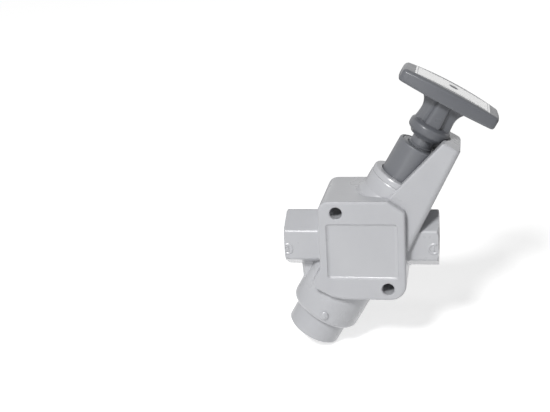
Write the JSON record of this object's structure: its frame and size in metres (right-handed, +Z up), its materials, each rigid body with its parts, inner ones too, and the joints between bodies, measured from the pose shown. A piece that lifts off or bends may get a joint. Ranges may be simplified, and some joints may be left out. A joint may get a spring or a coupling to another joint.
{
  "type": "three-way inline lockout valve",
  "caption": "Three-way inline valve with a cast body, hexagon threaded ports, a tilted push-pull plunger with a T-handle, and a shielding arm drilled for a padlock.",
  "frame": {"origin": "centre of the two-hole bolt pattern in the back pad's face", "axes": "+X along the port line towards port 1 and the arm, +Y out of the back pad towards the wall it is bolted to, +Z up"},
  "size_m": [0.1473, 0.06, 0.2007],
  "materials": {
    "cast_paint": "satin",
    "bearing_plastic": "matte",
    "rubber": "matte",
    "spring_steel": "satin",
    "dark_anodised": "satin",
    "plain_steel": "satin",
    "black_steel": "satin",
    "handle_plastic": "matte",
    "label_film": "gloss"
  },
  "bodies": {
    "valve_body": {"housing": "cast_paint", "guide_ring": "bearing_plastic", "wiper_ring": "rubber", "gland_ring": "cast_paint", "exhaust_collar": "cast_paint", "collar_seal": "rubber", "collar_ring": "spring_steel", "collar_bumper": "rubber"},
    "plunger": {"spool": "dark_anodised", "barrel_seal": "rubber", "middle_seal": "rubber", "vent_seal": "rubber", "end_bumper": "rubber", "stop_disc": "plain_steel", "stop_screw": "black_steel", "screw_washer": "plain_steel", "stem": "dark_anodised", "handle_grip": "handle_plastic", "handle_sleeve": "plain_steel", "handle_washer": "plain_steel", "handle_bolt": "black_steel", "handle_label": "label_film"}
  },
  "joints": [
    {"name": "plunger_slide", "type": "slide", "parent": "valve_body", "child": "plunger", "axis": [0.5, 0, 0.866], "range_m": [-0.016, 0]}
  ]
}
